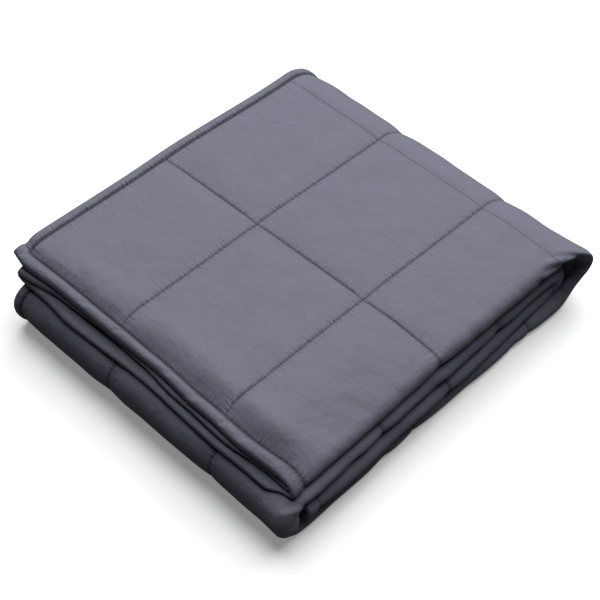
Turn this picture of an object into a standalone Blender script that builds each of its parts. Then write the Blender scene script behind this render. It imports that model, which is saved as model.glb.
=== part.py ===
"""A weighted blanket: one quilted cloth, folded in three across and rolled over in four along.

The blanket is worked out flat, as a distance across it and a distance along it. Folding it in three across
gives a strip of three layers, with a free hem at the left, a nose at the right and a hidden nose at the left.
Folding that strip along its length carries it over the back, under, up the front, over again and back inside.
X runs across the stack, Y from the front hem to the back fold and Z up, with the origin under the middle.
"""

import math
from collections import namedtuple

import bpy
import numpy as np

# The quilting, measured on the blanket laid flat (metres)
HEM = 0.0125
CELL_ACROSS = 0.125
EDGE_CELL_ACROSS = 0.1104
CELLS_ACROSS = 8
CELL_ALONG = 0.1478
EDGE_CELL_ALONG = 0.1571
CELLS_ALONG = 10
WIDTH = 2 * (HEM + EDGE_CELL_ACROSS) + (CELLS_ACROSS - 2) * CELL_ACROSS
LENGTH = 2 * (HEM + EDGE_CELL_ALONG) + (CELLS_ALONG - 2) * CELL_ALONG

# One layer: its share of the stack's height, its filled cells and its seams, where the cloth dips steeply
# beside the stitches and then swells over the puff width. The top's cells and hems are not pressed as flat,
# which fades out over a distance along the back turn and round the nose.
LAYER = 0.0064
CELL_THICKNESS = 0.0060
SEAM_THICKNESS = 0.0009
DIP_SHARE = 0.40
DIP_WIDTH = 0.0013
PUFF_WIDTH = 0.034
TOP_SWELL = 0.0014
TOP_HEM_ROUND = 0.0014
TOP_FADE_ALONG = 0.050
TOP_FADE_ACROSS = 0.020

# The stack, measured from the corner where the top hem's two stitch lines meet, and its middle
LAYERS = 12
FLAPS = 3
NOSE_X = 0.3145
INNER_NOSE_X = -0.004
BACK_TURN_Y = 0.3075
FRONT_TURN_Y = -0.003
INNER_HEM_Y = -0.004
FLOOR_PRESS = 0.0009
MIDDLE_X = 0.1580
MIDDLE_Y = 0.1560

# The runs and turns of the four sections, followed on the outer layer. The last turn gathers what is left.
TOP_RUN = HEM + BACK_TURN_Y
LOWER_RUN = BACK_TURN_Y - FRONT_TURN_Y
INNER_RUN = BACK_TURN_Y - INNER_HEM_Y
BACK_RADIUS = 0.5 * (LAYERS - 1) * LAYER
FRONT_RADIUS = BACK_RADIUS - 0.5 * FLAPS * LAYER
INNER_RADIUS = FRONT_RADIUS - 0.5 * FLAPS * LAYER
INNER_TURN_CLOTH = LENGTH - TOP_RUN - 2 * LOWER_RUN - INNER_RUN - math.pi * (BACK_RADIUS + FRONT_RADIUS)

# The layers across and the sections along: a straight run, the half turn after it, the cloth that this turn
# takes up (its own arc where None), and the mesh steps on the run and on the turn
Fold = namedtuple("Fold", "run radius turn_cloth run_step turn_step")
ACROSS = (
    Fold(HEM + NOSE_X, LAYER, None, 0.032, 0.0042),
    Fold(NOSE_X - INNER_NOSE_X, LAYER / 2, None, 0.042, 0.0050),
    Fold(WIDTH, None, None, 0.042, None),
)
ALONG = (
    Fold(TOP_RUN, BACK_RADIUS, None, 0.032, 0.0120),
    Fold(LOWER_RUN, FRONT_RADIUS, None, 0.0395, 0.0100),
    Fold(LOWER_RUN, INNER_RADIUS, INNER_TURN_CLOTH, 0.045, 0.0165),
    Fold(INNER_RUN, None, None, 0.055, None),
)

# How far each run and each turn stands out past its nominal place at the right noses and at the left edges
Side = namedtuple("Side", "right_at_start right_in_middle left_at_start left_in_middle")
SIDES = (
    Side(0.0000, -0.0020, 0.0050, 0.0000),
    Side(-0.0020, 0.0005, -0.0080, -0.0120),
    Side(0.0010, 0.0000, -0.0080, -0.0040),
    Side(0.0030, 0.0070, -0.0080, -0.0090),
    Side(0.0055, 0.0005, -0.0150, -0.0040),
    Side(-0.0040, -0.0045, 0.0000, -0.0020),
    Side(-0.0045, 0.0035, -0.0020, -0.0030),
    Side(0.0080, 0.0080, 0.0000, 0.0000),
)
INNER_NOSE_TUCK = 0.008
NOSE_TIP_X = NOSE_X + 2 * LAYER

# How far the top section's hem stands out at the front, by cloth distance across the three layers
Reach = namedtuple("Reach", "across reach")
FRONT = (
    Reach(0.000, -0.0073), Reach(0.022, -0.0038), Reach(0.060, -0.0060), Reach(0.120, -0.0057),
    Reach(0.170, -0.0046), Reach(0.230, 0.0002), Reach(0.280, 0.0031), Reach(0.322, 0.0015),
    Reach(0.347, 0.0062), Reach(0.366, 0.0140), Reach(0.415, 0.0140), Reach(0.520, 0.0080),
    Reach(0.600, 0.0095), Reach(0.640, 0.0056), Reach(0.680, 0.0040), Reach(0.720, -0.0010),
    Reach(0.783, -0.0027), Reach(0.820, 0.0000), Reach(0.900, -0.0014), Reach(0.980, -0.0014),
)
FRONT_FADE = 0.110
FRONT_TURN_SKEW = 0.0045
FRONT_TURN_FADE = 0.080

# Where the nose goes over the back fold it is pinched thin and stands out as an ear, and leans in below that
PINCH = 0.72
EAR_RIGHT = 0.011
EAR_BACK = 0.006
EAR_WIDTH = 0.045
EAR_ALONG = 0.052
EAR_PLACE = 0.28
LEAN = 0.30
LEAN_WIDTH = 0.070

# Inside the front turn the layers at the nose are fuller, and the inner section's hem runs into it there
NOSE_FILL = 0.30
NOSE_FILL_WIDTH = 0.060
INNER_HEM_REACH = 0.0040

# The top section's front end bends down round the front turn that it lies on, and the stack sags there
FRONT_TURN_Z = (LAYERS - FLAPS - 0.5) * LAYER - FRONT_RADIUS
SAG = 0.0060
SAG_FROM_Y = 0.024
SAG_WIDTH = 0.044
SAG_FULL_X = 0.120
SAG_LEAST = 0.4

# The top slopes down towards the noses
NOSE_SLOPE = 0.05
NOSE_SLOPE_WIDTH = 0.060

# Mesh lines stand on the seams, beside them where a stretch's step is fine, and at parts of the hem's width.
# At the pinched nose both flaps have a line in line with the first seam of the layer between them.
BESIDE_SEAM = 0.005
FINE_STEP = 0.040
HEM_LINES = (0.0, 0.2, 0.62)
PINCH_LINES = (0.3012, 0.9684)
CLOSEST_LINES = 0.004

CLOTH_COLOUR = (0.137, 0.135, 0.182, 1.0)
CLOTH_ROUGHNESS = 0.80


def clear_scene():
    for item in list(bpy.data.objects):
        bpy.data.objects.remove(item, do_unlink=True)


def ease(part):
    """0 to 1 along a cubic that is level at both ends: 3 part^2 - 2 part^3."""
    part = np.clip(part, 0.0, 1.0)
    return part * part * (3.0 - 2.0 * part)


def bump(distance):
    """1 at no distance, easing down to 0 at a distance of 1 either way."""
    return ease(1.0 - np.abs(distance))


def eased(place, places, values):
    """A value between two neighbouring places, eased from one to the next."""
    values = np.asarray(values, float)
    steps = np.interp(place, places, np.arange(len(places)))
    whole = np.minimum(steps.astype(int), len(places) - 2)
    return values[whole] + (values[whole + 1] - values[whole]) * ease(steps - whole)


def seam_places(edge_cell, cell, cells):
    """Distances of the stitch lines from the edge: the hem's, one line between cells, and the far hem's."""
    return np.cumsum([HEM, edge_cell] + [cell] * (cells - 2) + [edge_cell])


def cell_rise(place, seams):
    """0 on a stitch line. Beside it an exponential dip rises by its share, and a cubic puff by the rest."""
    away = np.abs(place[..., None] - seams).min(axis=-1)
    dip = 1.0 - np.exp(-away / DIP_WIDTH)
    puff = 1.0 - (1.0 - np.minimum(away / PUFF_WIDTH, 1.0)) ** 3
    return DIP_SHARE * dip + (1.0 - DIP_SHARE) * puff


def hem_rise(edge):
    """Half an ellipse over the hem's width: 0 at the edge and at the stitch line, 1 between them."""
    return np.sqrt(np.clip(1.0 - (2.0 * edge / HEM - 1.0) ** 2, 0.0, 1.0))


def lifts(across, along, seams_across, seams_along):
    """How far the cloth's two faces stand from its middle, the outer and the inner one: cells swell between
    their seams, and a rolled hem goes all round. The outer face of the top swells a little more."""
    edge_across = np.minimum(across, WIDTH - across)
    edge_along = np.minimum(along, LENGTH - along)
    cells = cell_rise(across, seams_across) * cell_rise(along, seams_along)
    hem_across = np.where(edge_across < HEM, hem_rise(edge_across), 1.0)
    hem_along = np.where(edge_along < HEM, hem_rise(edge_along), 1.0)
    on_hem = np.minimum(edge_across, edge_along) < HEM
    rise = np.where(on_hem, np.minimum(hem_across, hem_along), cells)
    half = 0.5 * (SEAM_THICKNESS + (CELL_THICKNESS - SEAM_THICKNESS) * rise)
    top = ease(1.0 - (along - TOP_RUN) / TOP_FADE_ALONG) * ease(1.0 - (across - NOSE_X) / TOP_FADE_ACROSS)
    outer = half + rise * top * np.where(on_hem, TOP_HEM_ROUND, TOP_SWELL)
    return outer, half


def folded_line(folds, start, travel):
    """Where a line is after each travel, and its heading: straight runs, and after each a half turn to the
    right round a centre one radius to the right of the line."""
    first = np.full_like(travel, start[0])
    second = np.full_like(travel, start[1])
    heading = np.zeros_like(travel)
    corner = np.array(start, float)
    angle = 0.0
    begun = 0.0
    for fold in folds:
        ahead = np.array((math.cos(angle), math.sin(angle)))
        step = travel - begun
        here = step >= 0.0
        first = np.where(here, corner[0] + step * ahead[0], first)
        second = np.where(here, corner[1] + step * ahead[1], second)
        heading = np.where(here, angle, heading)
        if fold.radius is None:
            break
        corner = corner + fold.run * ahead
        begun += fold.run
        centre = corner + fold.radius * np.array((ahead[1], -ahead[0]))
        turned = angle - (travel - begun) / fold.radius
        here = travel >= begun
        first = np.where(here, centre[0] - fold.radius * np.sin(turned), first)
        second = np.where(here, centre[1] + fold.radius * np.cos(turned), second)
        heading = np.where(here, turned, heading)
        corner = 2.0 * centre - corner
        angle -= math.pi
        begun += math.pi * fold.radius
    return first, second, heading


def fold_marks(folds, total):
    """Cloth distance and travelled distance at the start of each run and turn, and at the end. They differ
    where a turn takes up more cloth than its arc."""
    cloth, travel = [0.0], [0.0]
    for fold in folds:
        if fold.radius is None:
            travel.append(travel[-1] + total - cloth[-1])
            cloth.append(total)
            break
        arc = math.pi * fold.radius
        cloth += [cloth[-1] + fold.run, cloth[-1] + fold.run + (fold.turn_cloth or arc)]
        travel += [travel[-1] + fold.run, travel[-1] + fold.run + arc]
    return np.array(cloth), np.array(travel)


def mesh_lines(seams, total, folds, more=()):
    """Where the mesh lines cross the cloth: on the seams, beside those that show, on the hems, at each fold
    mark and at any more places, with others between them wherever two are further apart than their step."""
    marks, _ = fold_marks(folds, total)
    steps = np.array([step for fold in folds for step in (fold.run_step, fold.turn_step) if step])
    beside = np.concatenate((seams[1:] - BESIDE_SEAM, seams[:-1] + BESIDE_SEAM))
    beside = beside[steps[np.searchsorted(marks, beside) - 1] < FINE_STEP]
    hem = np.array(HEM_LINES) * HEM
    lines = np.concatenate((seams, beside, hem, total - hem, more))
    for mark in marks[1:-1]:
        if np.abs(lines - mark).min() > CLOSEST_LINES:
            lines = np.append(lines, mark)
    lines.sort()
    filled = []
    for low, high in zip(lines[:-1], lines[1:]):
        stretch = np.searchsorted(marks, 0.5 * (low + high)) - 1
        parts = max(1, round((high - low) / steps[stretch]))
        filled.extend(np.linspace(low, high, parts, endpoint=False))
    return np.append(filled, total)


def folded(across, along, lift):
    """Points of the folded blanket. A flat point is carried round the three layers, at its lift from the
    cloth's middle, then round the four sections, and last moved by what is uneven in the stack."""
    x, depth, heading = folded_line(ACROSS, (-HEM, 0.0), across)
    x = x - lift * np.sin(heading)
    depth = depth + lift * np.cos(heading)

    cloth_marks, travel_marks = fold_marks(ALONG, LENGTH)
    travel = np.interp(along, cloth_marks, travel_marks)
    y, z, heading = folded_line(ALONG, (-HEM, (LAYERS - 0.5) * LAYER), travel)

    # The nose is pinched thin where it goes over the back fold, and is fuller in the front turn
    over_back = cloth_marks[1] + EAR_PLACE * (cloth_marks[2] - cloth_marks[1])
    ear = bump((along - over_back) / EAR_ALONG) * bump((x - NOSE_TIP_X) / EAR_WIDTH)
    depth = LAYER / 2 + (depth - LAYER / 2) * (1.0 - PINCH * ear)
    turn = 0.5 * (cloth_marks[3] + cloth_marks[4])
    half_turn = 0.5 * (cloth_marks[4] - cloth_marks[3])
    at_nose = bump((x - NOSE_TIP_X) / NOSE_FILL_WIDTH)
    depth = depth * (1.0 + NOSE_FILL * at_nose * bump((along - turn) / half_turn))

    # The noses and the left edges stand out unevenly
    middles = 0.5 * (cloth_marks[1:] + cloth_marks[:-1])
    places = np.sort(np.concatenate((cloth_marks, middles)))
    sides = np.array(SIDES)
    right = eased(along, places, sides[:, :2].ravel()[: len(places)])
    left = eased(along, places, sides[:, 2:].ravel()[: len(places)])
    share = np.clip((x + HEM) / (NOSE_X + HEM), 0.0, 1.0)
    tuck = np.where(across > HEM + NOSE_X, INNER_NOSE_TUCK, 0.0)
    x = x + right * share + (tuck - left) * (1.0 - share) + EAR_RIGHT * ear

    # The hems at the front and the front turn stand out by different amounts
    front = np.array(FRONT)
    hem_reach = eased(across, front[:, 0], front[:, 1]) * bump(along / FRONT_FADE)
    hem_reach = hem_reach + INNER_HEM_REACH * at_nose * bump((LENGTH - along) / FRONT_FADE)
    past_turn = np.maximum(np.abs(along - turn) - half_turn, 0.0)
    skew = FRONT_TURN_SKEW * (2.0 * share - 1.0)
    y = y - depth * np.sin(heading) - hem_reach - skew * bump(past_turn / FRONT_TURN_FADE)
    z = z + depth * np.cos(heading)

    # The top section bends down round the front turn
    radius = np.where(along < TOP_RUN, z - FRONT_TURN_Z, 1.0)
    bend = np.where(along < TOP_RUN, np.maximum(FRONT_TURN_Y - skew - y, 0.0) / radius, 0.0)
    y = np.where(bend > 0.0, FRONT_TURN_Y - skew - radius * np.sin(bend), y)
    z = z - radius * (1.0 - np.cos(bend))

    # The back turn leans in below its ear
    middle = 0.5 * LAYERS * LAYER
    lean = LEAN * bump((x - NOSE_TIP_X) / LEAN_WIDTH) * ease(1.0 - z / middle)
    y = y - lean * np.maximum(y - BACK_TURN_Y, 0.0) + EAR_BACK * ear

    # The stack sags to the front and slopes down to its noses, and its weight presses it flat on the floor
    sag = SAG * (SAG_LEAST + (1.0 - SAG_LEAST) * ease(x / SAG_FULL_X))
    sag = sag * ease((SAG_FROM_Y - y) / SAG_WIDTH) * ease(z / middle - 1.0)
    slope = 1.0 - bump((x - NOSE_X - LAYER) / NOSE_SLOPE_WIDTH) * NOSE_SLOPE
    z = np.maximum((z - sag) * slope - FLOOR_PRESS, 0.0)
    return np.stack((x - MIDDLE_X, y - MIDDLE_Y, z), axis=-1)


def quads(grid):
    return np.stack((grid[:-1, :-1], grid[1:, :-1], grid[1:, 1:], grid[:-1, 1:]), axis=-1).reshape(-1, 4)


def closed_faces(rows, columns):
    """Quads of the outer face and of the inner one, which has its own points inside the rim they share."""
    outer = np.arange(rows * columns).reshape(rows, columns)
    inner = outer.copy()
    own = (rows - 2) * (columns - 2)
    inner[1:-1, 1:-1] = rows * columns + np.arange(own).reshape(rows - 2, columns - 2)
    return np.concatenate((quads(outer), quads(inner)[:, ::-1]))


def cloth_material():
    material = bpy.data.materials.new("cotton_slate")
    material.use_nodes = True
    shader = material.node_tree.nodes["Principled BSDF"]
    shader.inputs["Base Color"].default_value = CLOTH_COLOUR
    shader.inputs["Roughness"].default_value = CLOTH_ROUGHNESS
    return material


def make_blanket():
    seams_across = seam_places(EDGE_CELL_ACROSS, CELL_ACROSS, CELLS_ACROSS)
    seams_along = seam_places(EDGE_CELL_ALONG, CELL_ALONG, CELLS_ALONG)
    lines_across = mesh_lines(seams_across, WIDTH, ACROSS, PINCH_LINES)
    lines_along = mesh_lines(seams_along, LENGTH, ALONG)

    across, along = np.meshgrid(lines_across, lines_along, indexing="ij")
    outer_lift, inner_lift = lifts(across, along, seams_across, seams_along)
    outer = folded(across, along, outer_lift)
    middle = folded(across, along, np.zeros_like(across))
    inner = folded(across, along, -inner_lift)[1:-1, 1:-1]
    for rim in (np.s_[0, :], np.s_[-1, :], np.s_[:, 0], np.s_[:, -1]):
        outer[rim] = middle[rim]

    mesh = bpy.data.meshes.new("blanket")
    points = np.concatenate((outer.reshape(-1, 3), inner.reshape(-1, 3)))
    mesh.from_pydata(points.tolist(), [], closed_faces(*across.shape).tolist())
    mesh.validate()
    mesh.shade_smooth()
    blanket = bpy.data.objects.new("blanket", mesh)
    blanket.data.materials.append(cloth_material())
    bpy.context.collection.objects.link(blanket)


clear_scene()
make_blanket()
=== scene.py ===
"""The looks of a weighted blanket, folded in three across and rolled over in four along, on its frame."""

import math
from collections import namedtuple

import bpy
import numpy as np
from mathutils import Matrix, Vector


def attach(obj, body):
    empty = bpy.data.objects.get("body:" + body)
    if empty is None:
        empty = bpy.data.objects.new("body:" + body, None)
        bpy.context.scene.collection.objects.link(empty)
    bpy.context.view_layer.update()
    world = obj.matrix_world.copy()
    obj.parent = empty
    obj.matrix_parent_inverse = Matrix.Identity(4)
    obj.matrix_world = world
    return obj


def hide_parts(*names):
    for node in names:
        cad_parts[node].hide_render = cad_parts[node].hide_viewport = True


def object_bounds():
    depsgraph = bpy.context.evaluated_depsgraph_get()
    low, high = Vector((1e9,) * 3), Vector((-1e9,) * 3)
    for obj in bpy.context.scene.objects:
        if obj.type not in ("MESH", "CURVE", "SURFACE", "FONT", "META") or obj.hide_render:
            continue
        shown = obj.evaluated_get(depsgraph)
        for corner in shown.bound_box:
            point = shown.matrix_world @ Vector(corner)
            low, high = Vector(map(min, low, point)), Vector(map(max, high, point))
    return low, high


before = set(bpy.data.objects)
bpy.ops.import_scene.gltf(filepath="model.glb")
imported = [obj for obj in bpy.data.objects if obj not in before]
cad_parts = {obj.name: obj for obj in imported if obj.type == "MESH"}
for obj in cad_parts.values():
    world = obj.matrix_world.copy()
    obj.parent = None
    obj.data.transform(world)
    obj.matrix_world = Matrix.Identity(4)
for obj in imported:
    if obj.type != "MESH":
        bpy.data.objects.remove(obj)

cad_low, cad_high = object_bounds()

# ---- The blanket -----------------------------------------------------------------------------------------
# One quilt of slate cotton, filled in square cells and stitched through on every cell's edge, with its rim
# turned over and stitched down as a hem. It is folded in three across, then in four along, and lies under its
# own weight, so its cells press together and only its top, folds and hems show.

# The quilting, measured on the blanket laid flat (metres)
HEM = 0.0125
CELL_ACROSS = 0.125
EDGE_CELL_ACROSS = 0.1104
CELLS_ACROSS = 8
CELL_ALONG = 0.1478
EDGE_CELL_ALONG = 0.1571
CELLS_ALONG = 10
WIDTH = 2 * (HEM + EDGE_CELL_ACROSS) + (CELLS_ACROSS - 2) * CELL_ACROSS
LENGTH = 2 * (HEM + EDGE_CELL_ALONG) + (CELLS_ALONG - 2) * CELL_ALONG

# One layer: its share of the stack's height, its filled cells and its seams, where the cloth dips steeply
# beside the stitches and then swells over the puff width. The top's cells and hems are not pressed as flat,
# which fades out over a distance along the back turn and round the nose.
LAYER = 0.0064
CELL_THICKNESS = 0.0060
SEAM_THICKNESS = 0.0009
DIP_SHARE = 0.32
DIP_WIDTH = 0.0009
PUFF_WIDTH = 0.034
TOP_SWELL = 0.0014
TOP_HEM_ROUND = 0.0016
HEM_SQUARENESS = 3.2
TOP_FADE_ALONG = 0.050
TOP_FADE_ACROSS = 0.020

# The stack, measured from the corner where the top hem's two stitch lines meet
LAYERS = 12
FLAPS = 3
NOSE_X = 0.3145
INNER_NOSE_X = -0.004
BACK_TURN_Y = 0.3075
FRONT_TURN_Y = -0.003
INNER_HEM_Y = -0.004
FLOOR_PRESS = 0.0009
TOP_RUN = HEM + BACK_TURN_Y
LOWER_RUN = BACK_TURN_Y - FRONT_TURN_Y
INNER_RUN = BACK_TURN_Y - INNER_HEM_Y
BACK_RADIUS = 0.5 * (LAYERS - 1) * LAYER
FRONT_RADIUS = BACK_RADIUS - 0.5 * FLAPS * LAYER
INNER_RADIUS = FRONT_RADIUS - 0.5 * FLAPS * LAYER
INNER_TURN_CLOTH = LENGTH - TOP_RUN - 2 * LOWER_RUN - INNER_RUN - math.pi * (BACK_RADIUS + FRONT_RADIUS)

# The layers across and the sections along: a straight run, the half turn after it, the cloth that this turn
# takes up (its own arc where None), and the mesh steps on the run and on the turn
Fold = namedtuple("Fold", "run radius turn_cloth run_step turn_step")
ACROSS = (
    Fold(HEM + NOSE_X, LAYER, None, 0.0030, 0.0019),
    Fold(NOSE_X - INNER_NOSE_X, LAYER / 2, None, 0.0110, 0.0025),
    Fold(WIDTH, None, None, 0.0110, None),
)
ALONG = (
    Fold(TOP_RUN, BACK_RADIUS, None, 0.0030, 0.0038),
    Fold(LOWER_RUN, FRONT_RADIUS, None, 0.0110, 0.0034),
    Fold(LOWER_RUN, INNER_RADIUS, INNER_TURN_CLOTH, 0.0070, 0.0120),
    Fold(INNER_RUN, None, None, 0.0090, None),
)

# How far each section stands out past its nominal place at the right noses and at the left edges
Side = namedtuple("Side", "right_at_start right_in_middle left_at_start left_in_middle")
TOP_SIDE = Side(0.0000, -0.0020, 0.0050, 0.0000)
SIDES = (
    TOP_SIDE,
    Side(-0.0020, 0.0005, -0.0080, -0.0120),
    Side(0.0010, 0.0000, -0.0080, -0.0040),
    Side(0.0030, 0.0070, -0.0080, -0.0090),
    Side(0.0055, 0.0005, -0.0150, -0.0040),
    Side(-0.0040, -0.0045, 0.0000, -0.0020),
    Side(-0.0045, 0.0035, -0.0020, -0.0030),
    Side(0.0080, 0.0080, 0.0000, 0.0000),
)
INNER_NOSE_TUCK = 0.008
NOSE_TIP_X = NOSE_X + 2 * LAYER

# How far the top section's hem stands out at the front, by cloth distance across the three layers, and how
# far its stitches are drawn forwards where the hem is rolled in. The left hem is rolled in too.
Reach = namedtuple("Reach", "across reach roll")
FRONT = (
    Reach(0.000, -0.0040, -0.0010), Reach(0.022, 0.0000, 0.0000), Reach(0.060, -0.0018, 0.0014),
    Reach(0.120, -0.0013, 0.0018), Reach(0.170, -0.0006, 0.0024), Reach(0.230, 0.0038, 0.0012),
    Reach(0.280, 0.0066, 0.0006), Reach(0.322, 0.0030, 0.0000), Reach(0.347, 0.0062, 0.0000),
    Reach(0.366, 0.0140, 0.0000), Reach(0.415, 0.0140, 0.0000), Reach(0.520, 0.0080, 0.0000),
    Reach(0.600, 0.0095, 0.0000), Reach(0.640, 0.0056, 0.0000), Reach(0.680, 0.0040, 0.0000),
    Reach(0.720, -0.0010, 0.0000), Reach(0.783, -0.0027, 0.0000), Reach(0.820, 0.0000, 0.0000),
    Reach(0.870, 0.0050, 0.0000), Reach(0.930, 0.0085, 0.0000), Reach(0.980, 0.0040, 0.0000),
)
FRONT_FADE = 0.110
ROLL_IN = 0.7 * HEM
ROLL_FADE = 0.050
LEFT_ROLL = 0.0036

# The top flap dips as a whole along the front hem's stitches, more steeply on the hem's side
GROOVE_DEPTH = 0.0028
GROOVE_WIDTH = 0.0100
GROOVE_HEM_WIDTH = 0.5 * HEM

# The front turn stands out at its right end and in at its left end, which fades out away from the turn
FRONT_TURN_SKEW = 0.0045
FRONT_TURN_FADE = 0.080

# Where the nose goes over the back fold it is pinched thin and stands out as an ear, and leans in below that
PINCH = 0.72
EAR_RIGHT = 0.0065
EAR_BACK = 0.006
EAR_WIDTH = 0.045
EAR_ALONG = 0.052
EAR_PLACE = 0.28
LEAN = 0.16
LEAN_WIDTH = 0.070

# Inside the front turn the layers at the nose are fuller, and the inner section's hem runs into it there
NOSE_FILL = 0.30
NOSE_FILL_WIDTH = 0.060
INNER_HEM_REACH = 0.0040

# The top section's front end bends down round the front turn that it lies on, and the stack sags there
FRONT_TURN_Z = (LAYERS - FLAPS - 0.5) * LAYER - FRONT_RADIUS
SAG = 0.0060
SAG_FROM_Y = 0.024
SAG_WIDTH = 0.044
SAG_FULL_X = 0.120
SAG_LEAST = 0.4

# The top slopes down towards the noses, and more so as a shoulder at the front
NOSE_SLOPE = 0.05
NOSE_SLOPE_WIDTH = 0.060
SHOULDER = 0.0064
SHOULDER_FROM_X = 0.272
SHOULDER_WIDTH = 0.052
SHOULDER_TO_Y = 0.190
SHOULDER_FADE = 0.130

# Mesh lines close up towards the stitches and the rim: the steps there, and how fast they grow away from
# them. The nose has finer lines at the back corner. The hidden inner face keeps all lines near the hems and
# every third one elsewhere.
STITCH_STEP = 0.0006
RIM_STEP = 0.0005
FINE_STEP = 0.0012
STEP_GROWTH = 0.20
RIM_STEP_GROWTH = 0.40
LINE_SAMPLES = 400
NOSE_ACROSS = 0.348
BACK_CORNER_ALONG = 0.380
ALL_KEPT_TO = 1.5 * HEM
HIDDEN_SKIP = 3

# Puckers run out from the stitch lines: their spacing and depth, the mean length and its chance part, the
# distance to the full depth, and how many puckers long a change of length and of depth is
PUCKER_SPACING = 0.0075
PUCKER_DEPTH = 0.00055
PUCKER_LENGTH = 0.0110
PUCKER_LENGTH_CHANCE = 0.0090
PUCKER_START = 0.003
PUCKERS_TO_A_LENGTH = 2
PUCKERS_TO_A_DEPTH = 9

# Soft unevenness of the filling: longest and shortest waves, their number, and height
FILLING_WAVES = (0.085, 0.032)
FILLING_WAVE_COUNT = 14
FILLING_HEIGHT = 0.00030

# Creases that the folding left, on the blanket laid flat: each from one place to another, bowed aside in its
# middle, as wide as said to either side. A trough has a height of less than zero.
Crease = namedtuple("Crease", "across along to_across to_along bow width height")
CREASES = (
    # Beside the front hem's stitches, deepest towards the right
    Crease(-0.040, 0.031, 0.300, 0.031, 0.000, 0.017, 0.0010),
    Crease(0.130, 0.034, 0.350, 0.034, 0.000, 0.020, 0.0010),
    Crease(0.110, 0.017, 0.350, 0.017, 0.000, 0.012, -0.0012),
    Crease(0.190, 0.028, 0.345, 0.028, 0.000, 0.014, 0.0022),
    # Soft folds of the front left cell
    Crease(0.068, 0.016, 0.092, 0.060, 0.003, 0.006, -0.0005),
    Crease(0.086, 0.016, 0.104, 0.056, 0.003, 0.006, -0.0007),
    Crease(0.100, 0.016, 0.117, 0.045, 0.002, 0.005, 0.0006),
    Crease(0.118, 0.020, 0.150, 0.042, 0.002, 0.006, -0.0006),
    # The front hem's tucks and its turned corner
    Crease(0.066, 0.001, 0.074, 0.012, 0.001, 0.0025, -0.0016),
    Crease(0.084, 0.001, 0.093, 0.012, 0.001, 0.0030, -0.0020),
    Crease(0.122, 0.001, 0.130, 0.012, -0.001, 0.0025, -0.0014),
    Crease(0.186, -0.001, 0.192, 0.011, 0.001, 0.0030, -0.0016),
    Crease(0.216, -0.001, 0.225, 0.012, 0.001, 0.0030, -0.0020),
    Crease(0.252, -0.001, 0.259, 0.012, 0.001, 0.0030, -0.0018),
    Crease(0.274, -0.001, 0.280, 0.012, 0.001, 0.0028, -0.0016),
    Crease(0.000, 0.018, 0.014, 0.004, 0.002, 0.0030, -0.0016),
    Crease(0.010, 0.000, 0.022, 0.014, 0.001, 0.0030, -0.0014),
    # The left hem's tucks
    Crease(0.000, 0.056, 0.013, 0.064, 0.001, 0.0030, -0.0016),
    Crease(0.000, 0.084, 0.013, 0.091, 0.001, 0.0030, -0.0016),
    Crease(0.000, 0.128, 0.013, 0.137, 0.001, 0.0032, -0.0018),
    Crease(0.000, 0.214, 0.013, 0.222, 0.001, 0.0030, -0.0014),
    # Soft folds on the nose of the top section
    Crease(0.300, 0.072, 0.340, 0.094, 0.004, 0.0100, -0.0009),
    Crease(0.318, 0.104, 0.346, 0.130, 0.003, 0.0080, -0.0005),
    Crease(0.296, 0.040, 0.338, 0.060, 0.003, 0.0090, -0.0006),
    Crease(0.326, 0.200, 0.350, 0.225, 0.002, 0.0090, -0.0006),
    # Pleats gathered at the nose where it turns down over the back
    Crease(0.331, 0.296, 0.344, 0.330, 0.002, 0.0030, -0.0024),
    Crease(0.324, 0.306, 0.343, 0.345, 0.002, 0.0032, -0.0026),
    Crease(0.318, 0.318, 0.341, 0.358, 0.002, 0.0032, -0.0022),
    Crease(0.336, 0.286, 0.349, 0.316, 0.002, 0.0030, -0.0020),
    # Crumpled cloth under the nose below them
    Crease(0.366, 0.350, 0.336, 0.362, 0.001, 0.0038, 0.0024),
    Crease(0.364, 0.360, 0.336, 0.371, 0.001, 0.0036, -0.0028),
    Crease(0.368, 0.370, 0.336, 0.380, 0.001, 0.0038, 0.0026),
    Crease(0.364, 0.382, 0.336, 0.390, 0.001, 0.0036, -0.0026),
    Crease(0.364, 0.394, 0.338, 0.402, 0.001, 0.0040, 0.0022),
    Crease(0.351, 0.350, 0.349, 0.412, 0.002, 0.0026, -0.0018),
    # Folds on the noses of the lower sections
    Crease(0.330, 0.470, 0.348, 0.500, 0.003, 0.0070, -0.0014),
    Crease(0.333, 0.540, 0.350, 0.560, -0.003, 0.0080, -0.0012),
    Crease(0.330, 0.640, 0.350, 0.668, 0.003, 0.0080, -0.0014),
    Crease(0.335, 0.700, 0.350, 0.722, 0.002, 0.0070, -0.0010),
    Crease(0.330, 0.860, 0.350, 0.885, 0.002, 0.0070, -0.0012),
    Crease(0.332, 0.960, 0.350, 0.990, 0.003, 0.0080, -0.0012),
    # The front turn's right end
    Crease(0.322, 0.790, 0.344, 0.812, 0.003, 0.0040, 0.0012),
    Crease(0.324, 0.798, 0.344, 0.822, 0.003, 0.0040, -0.0012),
)
CREASE_END_SHARE = 0.35

# The stitch line next to the back fold hardly draws the cloth in
FAINT_SEAM_ALONG = 2
FAINT_SHARE = 0.22

SEED = 7
chance = np.random.default_rng(SEED)


def ease(part):
    """0 to 1 along a cubic that is level at both ends: 3 part^2 - 2 part^3."""
    part = np.clip(part, 0.0, 1.0)
    return part * part * (3.0 - 2.0 * part)


def bump(distance):
    """1 at no distance, easing down to 0 at a distance of 1 either way."""
    return ease(1.0 - np.abs(distance))


def eased(place, places, values):
    """A value between two neighbouring places, eased from one to the next."""
    values = np.asarray(values, float)
    steps = np.interp(place, places, np.arange(len(places)))
    whole = np.minimum(steps.astype(int), len(places) - 2)
    return values[whole] + (values[whole + 1] - values[whole]) * ease(steps - whole)


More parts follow.
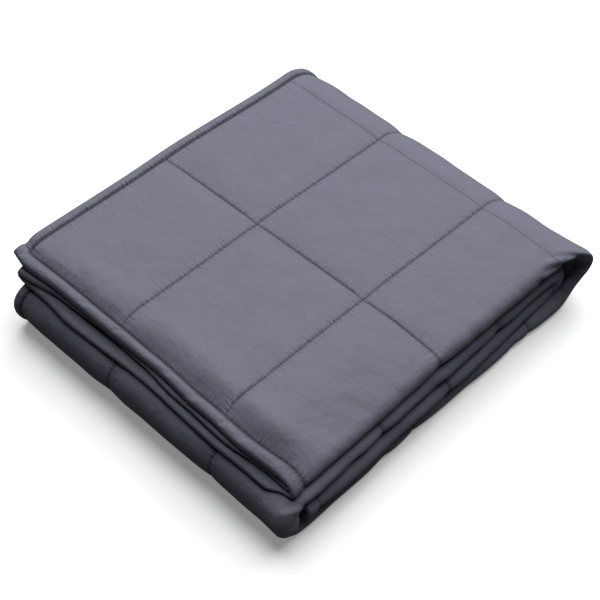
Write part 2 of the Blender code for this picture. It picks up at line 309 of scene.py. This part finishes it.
def seam_places(edge_cell, cell, cells):
    """Distances of the stitch lines from the edge: the hem's, one line between cells, and the far hem's."""
    return np.cumsum([HEM, edge_cell] + [cell] * (cells - 2) + [edge_cell])


def nearest_seam(place, seams):
    """Which stitch line is nearest, and the signed distance from it."""
    away = place[..., None] - seams
    nearest = np.abs(away).argmin(axis=-1)
    return nearest, np.take_along_axis(away, nearest[..., None], axis=-1)[..., 0]


def cell_rise(away):
    """0 on a stitch line. Beside it an exponential dip rises by its share, and a cubic puff by the rest."""
    away = np.abs(away)
    dip = 1.0 - np.exp(-away / DIP_WIDTH)
    puff = 1.0 - (1.0 - np.minimum(away / PUFF_WIDTH, 1.0)) ** 3
    return DIP_SHARE * dip + (1.0 - DIP_SHARE) * puff


def drawn_in(seam_along):
    """The share of a stitch line's full depth that it has, for the lines across the blanket."""
    return np.where(seam_along == FAINT_SEAM_ALONG, FAINT_SHARE, 1.0)


def hem_rise(edge):
    """Half a superellipse over the hem's width: 0 at the edge and at the stitch line, 1 between them."""
    away = np.minimum(np.abs(2.0 * edge / HEM - 1.0), 1.0)
    return (1.0 - away ** HEM_SQUARENESS) ** (1.0 / HEM_SQUARENESS)


def uneven(rows, row, steps):
    """Smooth chance values from -1 to 1 along each of several rows, one knot a step."""
    whole = np.floor(steps).astype(int)
    knots = chance.uniform(-1.0, 1.0, (rows, whole.max() + 2))
    low = knots[row, whole]
    return low + (knots[row, whole + 1] - low) * ease(steps - whole)


def puckers(place, away, seam, seams):
    """Narrow troughs that run out from a stitch line, one wherever a chance curve along the line passes
    zero. They are deepest a little way out, and some stretches of the line have hardly any."""
    rows = 2 * len(seams)
    row = 2 * seam + (away > 0.0)
    away = np.abs(away)
    fold = (1.0 - np.abs(uneven(rows, row, place / PUCKER_SPACING))) ** 3
    share = 0.5 + 0.5 * uneven(rows, row, place / (PUCKERS_TO_A_DEPTH * PUCKER_SPACING))
    change = uneven(rows, row, place / (PUCKERS_TO_A_LENGTH * PUCKER_SPACING))
    length = PUCKER_LENGTH + PUCKER_LENGTH_CHANCE * change
    return -PUCKER_DEPTH * fold * share * ease(away / PUCKER_START) * ease(1.0 - away / length)


def filling(across, along):
    """Soft hills and hollows: a sum of plane sine waves, each shorter than the last, of chance directions."""
    height = np.zeros_like(across)
    waves = np.geomspace(*FILLING_WAVES, FILLING_WAVE_COUNT)
    turns = chance.uniform(0.0, 2.0 * math.pi, (2, len(waves)))
    for wave, turn, start in zip(waves, *turns):
        ahead = across * math.cos(turn) + along * math.sin(turn)
        height += np.sin(2.0 * math.pi / wave * ahead + start)
    return FILLING_HEIGHT * height / math.sqrt(len(waves))


def creases(across, along):
    """The sum of the creases' heights: each eases off at its ends, and aside from a line that bows as a
    parabola."""
    height = np.zeros_like(across)
    for crease in CREASES:
        run = (crease.to_across - crease.across, crease.to_along - crease.along)
        length = math.hypot(*run)
        ahead = (run[0] / length, run[1] / length)
        part = ((across - crease.across) * ahead[0] + (along - crease.along) * ahead[1]) / length
        aside = (along - crease.along) * ahead[0] - (across - crease.across) * ahead[1]
        aside = aside - 4.0 * crease.bow * part * (1.0 - part)
        ends = ease(part / CREASE_END_SHARE) * ease((1.0 - part) / CREASE_END_SHARE)
        height += crease.height * bump(aside / crease.width) * ends
    return height


def lifts(across, along):
    """How far the cloth's two faces stand from its middle: the outer and the inner one. Cells swell between
    their seams, a rolled hem goes all round, and the outer face has the puckers, the filling's hills and the
    creases."""
    seam_across, away_across = nearest_seam(across, seams_across)
    seam_along, away_along = nearest_seam(along, seams_along)
    edge_across = np.minimum(across, WIDTH - across)
    edge_along = np.minimum(along, LENGTH - along)
    cells = cell_rise(away_across) * (1.0 - drawn_in(seam_along) * (1.0 - cell_rise(away_along)))
    hem_across = np.where(edge_across < HEM, hem_rise(edge_across), 1.0)
    hem_along = np.where(edge_along < HEM, hem_rise(edge_along), 1.0)
    on_hem = np.minimum(edge_across, edge_along) < HEM
    rise = np.where(on_hem, np.minimum(hem_across, hem_along), cells)
    half = 0.5 * (SEAM_THICKNESS + (CELL_THICKNESS - SEAM_THICKNESS) * rise)
    relief = puckers(along, away_across, seam_across, seams_across)
    relief += puckers(across, away_along, seam_along, seams_along)
    relief += filling(across, along)
    top = ease(1.0 - (along - TOP_RUN) / TOP_FADE_ALONG) * ease(1.0 - (across - NOSE_X) / TOP_FADE_ACROSS)
    relief = np.where(on_hem, TOP_HEM_ROUND * top, relief + TOP_SWELL * top) + creases(across, along)
    groove_width = np.where(along < HEM, GROOVE_HEM_WIDTH, GROOVE_WIDTH)
    dip = GROOVE_DEPTH * bump((along - HEM) / groove_width) * ease((HEM + NOSE_X - across) / PUFF_WIDTH)
    return half + rise * relief - dip, np.minimum(half + dip, LAYER / 2)


def folded_line(folds, start, travel):
    """Where a line is after each travel, and its heading: straight runs, and after each a half turn to the
    right round a centre one radius to the right of the line."""
    first = np.full_like(travel, start[0])
    second = np.full_like(travel, start[1])
    heading = np.zeros_like(travel)
    corner = np.array(start, float)
    angle = 0.0
    begun = 0.0
    for fold in folds:
        ahead = np.array((math.cos(angle), math.sin(angle)))
        step = travel - begun
        here = step >= 0.0
        first = np.where(here, corner[0] + step * ahead[0], first)
        second = np.where(here, corner[1] + step * ahead[1], second)
        heading = np.where(here, angle, heading)
        if fold.radius is None:
            break
        corner = corner + fold.run * ahead
        begun += fold.run
        centre = corner + fold.radius * np.array((ahead[1], -ahead[0]))
        turned = angle - (travel - begun) / fold.radius
        here = travel >= begun
        first = np.where(here, centre[0] - fold.radius * np.sin(turned), first)
        second = np.where(here, centre[1] + fold.radius * np.cos(turned), second)
        heading = np.where(here, turned, heading)
        corner = 2.0 * centre - corner
        angle -= math.pi
        begun += math.pi * fold.radius
    return first, second, heading


def fold_marks(folds, total):
    """Cloth distance and travelled distance at the start of each run and turn, and at the end. They differ
    where a turn takes up more cloth than its arc."""
    cloth, travel = [0.0], [0.0]
    for fold in folds:
        if fold.radius is None:
            travel.append(travel[-1] + total - cloth[-1])
            cloth.append(total)
            break
        arc = math.pi * fold.radius
        cloth += [cloth[-1] + fold.run, cloth[-1] + fold.run + (fold.turn_cloth or arc)]
        travel += [travel[-1] + fold.run, travel[-1] + fold.run + arc]
    return np.array(cloth), np.array(travel)


def folded(across, along, lift):
    """Points of the folded blanket. A flat point is carried round the three layers, at its lift from the
    cloth's middle, then round the four sections, and last moved by what is uneven in the stack."""
    left_roll = LEFT_ROLL * ease(across / ROLL_IN) * ease((HEM + ROLL_FADE - across) / ROLL_FADE)
    x, depth, heading = folded_line(ACROSS, (-HEM, 0.0), across - left_roll)
    x = x - lift * np.sin(heading)
    depth = depth + lift * np.cos(heading)

    front = np.array(FRONT)
    roll = eased(across, front[:, 0], front[:, 2])
    along = along - roll * ease(along / ROLL_IN) * ease((HEM + ROLL_FADE - along) / ROLL_FADE)
    cloth_marks, travel_marks = fold_marks(ALONG, LENGTH)
    travel = np.interp(along, cloth_marks, travel_marks)
    y, z, heading = folded_line(ALONG, (-HEM, (LAYERS - 0.5) * LAYER), travel)

    # The nose is pinched thin where it goes over the back fold, and is fuller in the front turn
    over_back = cloth_marks[1] + EAR_PLACE * (cloth_marks[2] - cloth_marks[1])
    ear = bump((along - over_back) / EAR_ALONG) * bump((x - NOSE_TIP_X) / EAR_WIDTH)
    depth = LAYER / 2 + (depth - LAYER / 2) * (1.0 - PINCH * ear)
    turn = 0.5 * (cloth_marks[3] + cloth_marks[4])
    half_turn = 0.5 * (cloth_marks[4] - cloth_marks[3])
    at_nose = bump((x - NOSE_TIP_X) / NOSE_FILL_WIDTH)
    depth = depth * (1.0 + NOSE_FILL * at_nose * bump((along - turn) / half_turn))

    # The noses and the left edges stand out unevenly
    middles = 0.5 * (cloth_marks[1:] + cloth_marks[:-1])
    places = np.sort(np.concatenate((cloth_marks, middles)))
    sides = np.array(SIDES)
    right = eased(along, places, sides[:, :2].ravel()[: len(places)])
    left = eased(along, places, sides[:, 2:].ravel()[: len(places)])
    share = np.clip((x + HEM) / (NOSE_X + HEM), 0.0, 1.0)
    tuck = np.where(across > HEM + NOSE_X, INNER_NOSE_TUCK, 0.0)
    x = x + right * share + (tuck - left) * (1.0 - share) + EAR_RIGHT * ear

    # The hems at the front and the front turn stand out by different amounts
    hem_reach = eased(across, front[:, 0], front[:, 1]) * bump(along / FRONT_FADE)
    hem_reach = hem_reach + INNER_HEM_REACH * at_nose * bump((LENGTH - along) / FRONT_FADE)
    past_turn = np.maximum(np.abs(along - turn) - half_turn, 0.0)
    skew = FRONT_TURN_SKEW * (2.0 * share - 1.0)
    y = y - depth * np.sin(heading) - hem_reach - skew * bump(past_turn / FRONT_TURN_FADE)
    z = z + depth * np.cos(heading)

    # The top section bends down round the front turn
    radius = np.where(along < TOP_RUN, z - FRONT_TURN_Z, 1.0)
    bend = np.where(along < TOP_RUN, np.maximum(FRONT_TURN_Y - skew - y, 0.0) / radius, 0.0)
    y = np.where(bend > 0.0, FRONT_TURN_Y - skew - radius * np.sin(bend), y)
    z = z - radius * (1.0 - np.cos(bend))

    # The back turn leans in below its ear
    middle = 0.5 * LAYERS * LAYER
    lean = LEAN * bump((x - NOSE_TIP_X) / LEAN_WIDTH) * ease(1.0 - z / middle)
    y = y - lean * np.maximum(y - BACK_TURN_Y, 0.0) + EAR_BACK * ear

    # The stack sags to the front and slopes down to its noses, and its weight presses it flat on the floor
    sag = SAG * (SAG_LEAST + (1.0 - SAG_LEAST) * ease(x / SAG_FULL_X))
    shoulder = ease((x - SHOULDER_FROM_X) / SHOULDER_WIDTH) * ease((SHOULDER_TO_Y - y) / SHOULDER_FADE)
    sag = (sag * ease((SAG_FROM_Y - y) / SAG_WIDTH) + SHOULDER * shoulder) * ease(z / middle - 1.0)
    slope = 1.0 - bump((x - NOSE_X - LAYER) / NOSE_SLOPE_WIDTH) * NOSE_SLOPE
    z = np.maximum((z - sag) * slope - FLOOR_PRESS, 0.0)
    return np.stack((x, y, z), axis=-1) + stack_corner


def mesh_lines(seams, total, folds, fine_at=()):
    """Distances of the mesh lines: on each stitch line and rim, and between these as many as the steps need.
    A step is the stretch's own, or less near a stitch line or a fine place, where it grows with the distance
    from it."""
    marks, _ = fold_marks(folds, total)
    steps = np.array([step for fold in folds for step in (fold.run_step, fold.turn_step) if step])
    stops = np.concatenate(([0.0], seams, [total]))
    lines = []
    for low, high in zip(stops[:-1], stops[1:]):
        fine = np.linspace(low, high, LINE_SAMPLES)
        away = np.minimum(fine - low, high - fine)
        own = steps[np.clip(np.searchsorted(marks, fine) - 1, 0, len(steps) - 1)]
        near = STITCH_STEP * np.sqrt(own / steps.min()) + STEP_GROWTH * away
        if low == 0.0 or high == total:
            near = RIM_STEP + RIM_STEP_GROWTH * away
        for place in fine_at:
            near = np.minimum(near, FINE_STEP + STEP_GROWTH * np.abs(fine - place))
        rate = 1.0 / np.minimum(own, near)
        count = np.concatenate(([0.0], np.cumsum(0.5 * (rate[1:] + rate[:-1]) * np.diff(fine))))
        parts = max(1, round(count[-1]))
        lines.extend(np.interp(np.linspace(0.0, count[-1], parts + 1)[:-1], count, fine))
    return np.array(lines + [total])


def kept_lines(lines, total):
    """Which mesh lines the hidden inner face keeps: all on and next to the hems, and every few elsewhere."""
    edge = np.minimum(lines, total - lines)
    kept = (edge < ALL_KEPT_TO) | (np.arange(len(lines)) % HIDDEN_SKIP == 0)
    return np.flatnonzero(kept)


def quads(grid):
    """The four point numbers of each face of a grid of point numbers."""
    return np.stack((grid[:-1, :-1], grid[1:, :-1], grid[1:, 1:], grid[:-1, 1:]), axis=-1).reshape(-1, 4)


def closed_faces(rows, columns, kept_rows, kept_columns):
    """Quads of the outer face, and larger faces of the inner one, which has its own points inside the rim
    that they share. A face on the rim takes in every point of the rim on its side."""
    outer = np.arange(rows * columns).reshape(rows, columns)
    inner = outer[np.ix_(kept_rows, kept_columns)]
    own = (len(kept_rows) - 2) * (len(kept_columns) - 2)
    inner[1:-1, 1:-1] = rows * columns + np.arange(own).reshape(len(kept_rows) - 2, -1)
    faces = quads(outer).tolist() + quads(inner[1:-1, 1:-1])[:, ::-1].tolist()
    last_row, last_column = len(kept_rows) - 2, len(kept_columns) - 2
    rim = [(row, column) for row in range(last_row + 1) for column in range(last_column + 1)
           if row in (0, last_row) or column in (0, last_column)]
    for row, column in rim:
        top, bottom = kept_rows[row], kept_rows[row + 1]
        left, right = kept_columns[column], kept_columns[column + 1]
        near, far = inner[row], inner[row + 1]
        ring = [outer[0, left:right]] if row == 0 else [near[column:column + 1]]
        ring += [outer[top:bottom, -1]] if column == last_column else [near[column + 1:column + 2]]
        ring += [outer[-1, left + 1:right + 1][::-1]] if row == last_row else [far[column + 1:column + 2]]
        ring += [outer[top + 1:bottom + 1, 0][::-1]] if column == 0 else [far[column:column + 1]]
        faces.append(np.concatenate(ring).tolist())
    return faces


def new_piece(name, points, faces, materials):
    """A mesh object whose place is in its points, shaded smooth."""
    mesh = bpy.data.meshes.new(name)
    mesh.from_pydata(points.tolist(), [], faces)
    mesh.validate()
    mesh.shade_smooth()
    for material in materials:
        mesh.materials.append(material)
    piece = bpy.data.objects.new(name, mesh)
    bpy.context.collection.objects.link(piece)
    return piece


class Shade:
    """A shader socket that sums can be written with: each adds a Math node to the socket's tree."""

    def __init__(self, tree, socket):
        self.tree = tree
        self.socket = socket

    @staticmethod
    def node(tree, kind, settings=(), sockets=(), output=0):
        """Any node: its settings are set first, then the values or links of its sockets."""
        node = tree.nodes.new(kind)
        for name, value in dict(settings).items():
            setattr(node, name, value)
        for name, value in dict(sockets).items():
            if isinstance(value, Shade):
                tree.links.new(value.socket, node.inputs[name])
            else:
                node.inputs[name].default_value = value
        return Shade(tree, node.outputs[output])

    def math(self, operation, first, second=0.0):
        """A Math node on one or two values or sockets."""
        return Shade.node(self.tree, "ShaderNodeMath", {"operation": operation}, {0: first, 1: second})

    def __add__(self, other):
        return self.math("ADD", self, other)

    def __sub__(self, other):
        return self.math("SUBTRACT", self, other)

    def __rsub__(self, other):
        return self.math("SUBTRACT", other, self)

    def __mul__(self, other):
        return self.math("MULTIPLY", self, other)

    __radd__ = __add__
    __rmul__ = __mul__

    def sine(self):
        return self.math("SINE", self)


def mixed(tree, share, first, second):
    """A colour between two others, by a share from 0 to 1."""
    return Shade.node(tree, "ShaderNodeMix", {"data_type": "RGBA"}, {0: share, 6: first, 7: second}, 2)


# The cotton: its face, its paler slubs, painted shade that darkens it in the seam grooves, darker and wider
# along the front hem, and a faint sheen
COTTON = (0.128, 0.126, 0.170, 1.0)
COTTON_SLUB = (0.146, 0.144, 0.193, 1.0)
# The dark slate of the painted shade in the seam grooves
PAINTED_SEAM_SHADE = (0.045, 0.043, 0.062, 1.0)
SLUB_SHARE = 0.8
SLUB_FROM = 0.3
SEAM_SHADE_WIDTH = 0.0008
HEM_SHADE_WIDTH = 0.0018
HEM_SHADE_SHARE = 2.0
COTTON_ROUGHNESS = 0.80
SLUB_ROUGHNESS = 0.1
SHEEN = 0.10
SHEEN_ROUGHNESS = 0.35
SHEEN_TINT = (0.75, 0.76, 0.85, 1.0)

# Its texture: the weave's pitch, the waves to a metre, across and along, of each noise, and heights
THREAD_PITCH = 0.00042
SLUB_WAVES = (60.0, 1400.0)
MOTTLE_WAVES = (45.0, 45.0)
MOTTLE_DETAIL = 4.0
WEAVE_HEIGHT = 0.0001
WEAVE_STRENGTH = 0.5
WEAVE_RELIEF = 0.5
SLUB_RELIEF = 1.5
WRINKLE_WAVES = (38.0, 38.0)
WRINKLE_DETAIL = 6.0
WRINKLE_CREASING = 0.62
WRINKLE_HEIGHT = 0.0024
TICK_WAVES = (90.0, 420.0)
TICK_REACH = 0.0045


def cotton_material():
    """Plain weave on the cloth's own flat metres: threads cross as a product of two sines, slubs are noise
    drawn out along the threads, soft wrinkles are noise, and small ticks run out from the stitches as noise
    drawn out across each seam. Shade is painted into the colour in the seam grooves."""
    material = bpy.data.materials.new("quilted_cotton")
    material.use_nodes = True
    tree = material.node_tree
    shader = tree.nodes["Principled BSDF"]
    flat = Shade.node(tree, "ShaderNodeUVMap", {"uv_map": "cloth"})
    u = Shade.node(tree, "ShaderNodeSeparateXYZ", (), {"Vector": flat}, "X")
    v = Shade.node(tree, "ShaderNodeSeparateXYZ", (), {"Vector": flat}, "Y")
    weave = (u * (math.pi / THREAD_PITCH)).sine() * (v * (math.pi / THREAD_PITCH)).sine()

    def noise(waves, detail=2.0, roughness=0.5):
        place = Shade.node(tree, "ShaderNodeMapping", (), {"Vector": flat, "Scale": (*waves, 1.0)})
        return Shade.node(tree, "ShaderNodeTexNoise", {"noise_dimensions": "2D"},
                          {"Vector": place, "Scale": 1.0, "Detail": detail, "Roughness": roughness})

    def near_seam(name):
        return Shade.node(tree, "ShaderNodeAttribute", {"attribute_name": name}, (), "Fac")

    slubs = (noise(SLUB_WAVES) + noise(SLUB_WAVES[::-1])) * 0.5
    mottle = noise(MOTTLE_WAVES, MOTTLE_DETAIL)
    ticks = near_seam("seam_across") * noise(TICK_WAVES) + near_seam("seam_along") * noise(TICK_WAVES[::-1])
    cloth = mixed(tree, (slubs + mottle) * SLUB_SHARE - SLUB_FROM, COTTON, COTTON_SLUB)
    # Painted shade: the cloth is mixed towards a dark slate in the seam grooves, where shade would fall
    colour = mixed(tree, near_seam("seam"), cloth, PAINTED_SEAM_SHADE)
    wrinkled = Shade.node(tree, "ShaderNodeBump", (),
                          {"Height": noise(WRINKLE_WAVES, WRINKLE_DETAIL, WRINKLE_CREASING) + ticks,
                           "Strength": 1.0, "Distance": WRINKLE_HEIGHT})
    raised = Shade.node(tree, "ShaderNodeBump", (),
                        {"Height": weave * WEAVE_RELIEF + slubs * SLUB_RELIEF,
                         "Strength": WEAVE_STRENGTH, "Distance": WEAVE_HEIGHT, "Normal": wrinkled})
    rough = slubs * SLUB_ROUGHNESS + (COTTON_ROUGHNESS - 0.5 * SLUB_ROUGHNESS)
    tree.links.new(colour.socket, shader.inputs["Base Color"])
    tree.links.new(raised.socket, shader.inputs["Normal"])
    tree.links.new(rough.socket, shader.inputs["Roughness"])
    shader.inputs["Sheen Weight"].default_value = SHEEN
    shader.inputs["Sheen Roughness"].default_value = SHEEN_ROUGHNESS
    shader.inputs["Sheen Tint"].default_value = SHEEN_TINT
    return material


seams_across = seam_places(EDGE_CELL_ACROSS, CELL_ACROSS, CELLS_ACROSS)
seams_along = seam_places(EDGE_CELL_ALONG, CELL_ALONG, CELLS_ALONG)
stack_corner = np.array((
    cad_low.x + HEM + TOP_SIDE.left_at_start,
    cad_high.y - BACK_TURN_Y - BACK_RADIUS - CELL_THICKNESS / 2,
    0.0,
))
lines_across = mesh_lines(seams_across, WIDTH, ACROSS, (NOSE_ACROSS,))
lines_along = mesh_lines(seams_along, LENGTH, ALONG, (BACK_CORNER_ALONG,))
kept_across = kept_lines(lines_across, WIDTH)
kept_along = kept_lines(lines_along, LENGTH)

across, along = np.meshgrid(lines_across, lines_along, indexing="ij")
outer_lift, inner_lift = lifts(across, along)
outer = folded(across, along, outer_lift)
inner = folded(across, along, -inner_lift)
middle = folded(across, along, 0.5 * (outer_lift - inner_lift))
for rim in (np.s_[0, :], np.s_[-1, :], np.s_[:, 0], np.s_[:, -1]):
    outer[rim] = middle[rim]
own_inner = np.ix_(kept_across[1:-1], kept_along[1:-1])
quilt = new_piece(
    "quilt",
    np.concatenate((outer.reshape(-1, 3), inner[own_inner].reshape(-1, 3))),
    closed_faces(*across.shape, kept_across, kept_along),
    [cotton_material()],
)


def on_points(values):
    """A value of every point of the piece, the outer face's and then the inner one's own."""
    return np.concatenate((values.ravel(), values[own_inner].ravel()))


# How near each point is to a stitch line, fading with the distance. No line crosses a hem. The first value
# paints shade into the seam grooves, darker and wider along the front hem; the other two place the ticks.
_, away_across = nearest_seam(across, seams_across)
seam_along, away_along = nearest_seam(along, seams_along)
away_across = np.where(np.minimum(along, LENGTH - along) < HEM, HEM, np.abs(away_across))
away_along = np.where(np.minimum(across, WIDTH - across) < HEM, HEM, np.abs(away_along))
shade_width = np.where(seam_along == 0, HEM_SHADE_WIDTH, SEAM_SHADE_WIDTH)
shade_share = np.where(seam_along == 0, HEM_SHADE_SHARE, drawn_in(seam_along))
shades = {
    # Painted shade in the seam grooves, strongest and widest along the front hem
    "seam": np.maximum(
        np.exp(-away_across / SEAM_SHADE_WIDTH), shade_share * np.exp(-away_along / shade_width)),
    "seam_across": np.exp(-away_across / TICK_REACH),
    "seam_along": drawn_in(seam_along) * np.exp(-away_along / TICK_REACH),
}
for name, shade in shades.items():
    attribute = quilt.data.attributes.new(name, "FLOAT", "POINT")
    attribute.data.foreach_set("value", on_points(shade).astype(np.float32))
corners = np.empty(len(quilt.data.loops), np.int32)
quilt.data.loops.foreach_get("vertex_index", corners)
flat = np.stack((on_points(across), on_points(along)), axis=-1)[corners]
quilt.data.uv_layers.new(name="cloth").data.foreach_set("uv", flat.ravel().astype(np.float32))
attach(quilt, "root")
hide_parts("blanket")

# ---- The stitching ---------------------------------------------------------------------------------------
# Slate polyester thread, lock-stitched through the quilt on the edge of every cell and along the hems. Each
# stitch is a short drawn-in length of thread that sinks into the cloth at both its needle holes.

STITCH_PITCH = 0.0032
STITCH_LENGTH = 0.0028
STITCH_RISE = 0.00022
THREAD_RADIUS = 0.00024
THREAD_TAPER = 0.8
THREAD_SIDES = 3
THREAD_RINGS = np.array((0.0, 0.15, 0.5, 0.85, 1.0))

# Stitches are made only where they can be seen: how far past the front turn's ends, to either side of the
# right nose, and in from the front hem
PAST_TURN = 0.020
NOSE_STITCHES = 0.030
FRONT_STITCHES = 2.0 * HEM

THREAD = (0.070, 0.069, 0.095, 1.0)
THREAD_DARK = (0.0490, 0.0483, 0.0665, 1.0)
PLY_WAVES = 1500.0
THREAD_ROUGHNESS = 0.6
THREAD_SHEEN = 0.2


def thread_line(start, end, steps_aside, ground_at, ground):
    """Tubes for the stitches of one line from start to end: distances along the line and aside from it, and
    lifts over the ground that is given at places along it, for each stitch, ring and side. A stitch arches up
    by a sine, and its radius shrinks towards its ends by the fourth power of the distance from its middle."""
    centres = np.arange(start + STITCH_PITCH / 2, end, STITCH_PITCH)
    turns = np.linspace(0.0, 2.0 * math.pi, THREAD_SIDES, endpoint=False) + math.pi / 2
    centre, part, turn = np.meshgrid(centres, THREAD_RINGS, turns, indexing="ij")
    radius = THREAD_RADIUS * np.sqrt(1.0 - THREAD_TAPER * (2.0 * part - 1.0) ** 4)
    place = centre + STITCH_LENGTH * (part - 0.5)
    aside = steps_aside + radius * np.cos(turn)
    lift = np.interp(place, ground_at, ground) + STITCH_RISE * np.sin(math.pi * part) + radius * np.sin(turn)
    return place, aside, lift


def shows(across, along):
    """True where a stitch of the outer face can be seen: on top, over the back and front turns, on the noses
    and on the hems."""
    marks, _ = fold_marks(ALONG, LENGTH)
    on_flap = across < HEM + NOSE_X + math.pi * LAYER
    on_turn = (along < marks[2]) | ((along > marks[3] - PAST_TURN) & (along < marks[4] + PAST_TURN))
    on_nose = np.abs(across - HEM - NOSE_X - math.pi * LAYER / 2) < NOSE_STITCHES
    on_front = along < FRONT_STITCHES
    return (on_flap & on_turn) | on_nose | on_front


def tube_faces(count):
    """Quads round each tube between its rings, and a cap at each end."""
    rings = len(THREAD_RINGS)
    ring, side = np.meshgrid(np.arange(rings - 1), np.arange(THREAD_SIDES), indexing="ij")
    here = ring * THREAD_SIDES + side
    beside = ring * THREAD_SIDES + (side + 1) % THREAD_SIDES
    round_it = np.stack((here, here + THREAD_SIDES, beside + THREAD_SIDES, beside), axis=-1).reshape(-1, 4)
    size = rings * THREAD_SIDES
    starts = np.arange(count)[:, None, None] * size
    caps = np.array((np.arange(THREAD_SIDES), np.arange(size - 1, size - 1 - THREAD_SIDES, -1)))
    return (round_it + starts).reshape(-1, 4).tolist() + (caps + starts).reshape(-1, THREAD_SIDES).tolist()


def thread_material():
    """Twisted thread: darker slate than the cloth, its ply as fine noise between two tones."""
    material = bpy.data.materials.new("slate_thread")
    material.use_nodes = True
    tree = material.node_tree
    shader = tree.nodes["Principled BSDF"]
    place = Shade.node(tree, "ShaderNodeTexCoord", (), (), "Object")
    ply = Shade.node(tree, "ShaderNodeTexNoise", (), {"Vector": place, "Scale": PLY_WAVES, "Detail": 2.0})
    tree.links.new(mixed(tree, ply, THREAD, THREAD_DARK).socket, shader.inputs["Base Color"])
    shader.inputs["Roughness"].default_value = THREAD_ROUGHNESS
    shader.inputs["Sheen Weight"].default_value = THREAD_SHEEN
    return material


lines = []
for seam_at in seams_across:
    ground = outer_lift[np.abs(lines_across - seam_at).argmin()]
    place, aside, lift = thread_line(HEM, LENGTH - HEM, seam_at, lines_along, ground)
    seen = shows(aside[:, 2, 0], place[:, 2, 0])
    lines.append(folded(aside[seen], place[seen], lift[seen]))
for seam_at in seams_along:
    ground = outer_lift[:, np.abs(lines_along - seam_at).argmin()]
    place, aside, lift = thread_line(HEM, WIDTH - HEM, seam_at, lines_across, ground)
    seen = shows(place[:, 2, 0], aside[:, 2, 0])
    lines.append(folded(place[seen][:, ::-1], aside[seen][:, ::-1], lift[seen][:, ::-1]))
stitch_points = np.concatenate(lines)
stitching = new_piece(
    "stitching", stitch_points.reshape(-1, 3), tube_faces(len(stitch_points)), [thread_material()])
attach(stitching, "root")

# ---- The floor, the light and the camera -----------------------------------------------------------------
# A plain pale floor. One broad soft light hangs over the blanket and a little behind it, as the camera sees
# it, so the top is even. The floor looks pale but throws little light back, and the sides stay dark.

# The floor's colour as it is seen and as it throws light back, and its glow
FLOOR_SIZE = 12.0
FLOOR_COLOUR = (0.86, 0.86, 0.86, 1.0)
FLOOR_THROWN = (0.16, 0.16, 0.16, 1.0)
FLOOR_GLOW = (0.24, 0.24, 0.24, 1.0)
FLOOR_ROUGHNESS = 0.9
BLACK = (0.0, 0.0, 0.0, 1.0)

# The lamp and the camera: their directions in degrees and their distances
LAMP_AZIMUTH = 203.0
LAMP_ELEVATION = 64.0
LAMP_DISTANCE = 2.4
LAMP_SIZE = 3.5
LAMP_POWER = 118.0
CAMERA_AZIMUTH = 44.1
CAMERA_ELEVATION = 48.6
CAMERA_DISTANCE = 1.73
LOOK_AT = Vector((0.0394, -0.0336, 0.0748))
NEAREST_SEEN = 0.01
PHOTO_WIDTH_PX = 600
FOCAL_PX = 2086
SENSOR_MM = 36.0

floor_mesh = bpy.data.meshes.new("floor")
half_floor = FLOOR_SIZE / 2
floor_mesh.from_pydata(
    [(-half_floor, -half_floor, 0.0), (half_floor, -half_floor, 0.0), (half_floor, half_floor, 0.0),
     (-half_floor, half_floor, 0.0)], [], [(0, 1, 2, 3)])
floor = bpy.data.objects.new("floor", floor_mesh)
bpy.context.collection.objects.link(floor)
floor_material = bpy.data.materials.new("pale_floor")
floor_material.use_nodes = True
floor_tree = floor_material.node_tree
floor_shader = floor_tree.nodes["Principled BSDF"]
seen = Shade.node(floor_tree, "ShaderNodeLightPath", (), (), "Is Camera Ray")
colour = mixed(floor_tree, seen, FLOOR_THROWN, FLOOR_COLOUR)
glow = mixed(floor_tree, seen, BLACK, FLOOR_GLOW)
floor_tree.links.new(colour.socket, floor_shader.inputs["Base Color"])
floor_tree.links.new(glow.socket, floor_shader.inputs["Emission Color"])
floor_shader.inputs["Emission Strength"].default_value = 1.0
floor_shader.inputs["Roughness"].default_value = FLOOR_ROUGHNESS
floor_mesh.materials.append(floor_material)

sky = bpy.data.worlds.new("studio")
sky.use_nodes = True
sky.node_tree.nodes["Background"].inputs["Color"].default_value = BLACK
bpy.context.scene.world = sky


def aimed(name, data, target, azimuth, elevation, distance):
    """An object that looks at the target from an azimuth, where 0 looks along +Y, an elevation over the
    floor, both in degrees, and a distance."""
    azimuth, elevation = math.radians(azimuth), math.radians(elevation)
    level = distance * math.cos(elevation)
    back = Vector((level * math.sin(azimuth), -level * math.cos(azimuth), distance * math.sin(elevation)))
    item = bpy.data.objects.new(name, data)
    bpy.context.collection.objects.link(item)
    item.matrix_world = Matrix.Translation(target + back) @ back.to_track_quat("Z", "Y").to_matrix().to_4x4()
    return item


lamp = bpy.data.lights.new("overhead", "AREA")
lamp.shape = "DISK"
lamp.size = LAMP_SIZE
lamp.energy = LAMP_POWER
aimed("overhead", lamp, Vector((0.0, 0.0, 0.0)), LAMP_AZIMUTH, LAMP_ELEVATION, LAMP_DISTANCE)

lens = bpy.data.cameras.new("camera")
lens.sensor_width = SENSOR_MM
lens.lens = FOCAL_PX / PHOTO_WIDTH_PX * SENSOR_MM
lens.clip_start = NEAREST_SEEN
bpy.context.scene.camera = aimed(
    "camera", lens, LOOK_AT, CAMERA_AZIMUTH, CAMERA_ELEVATION, CAMERA_DISTANCE)
bpy.context.scene.view_settings.view_transform = "Standard"
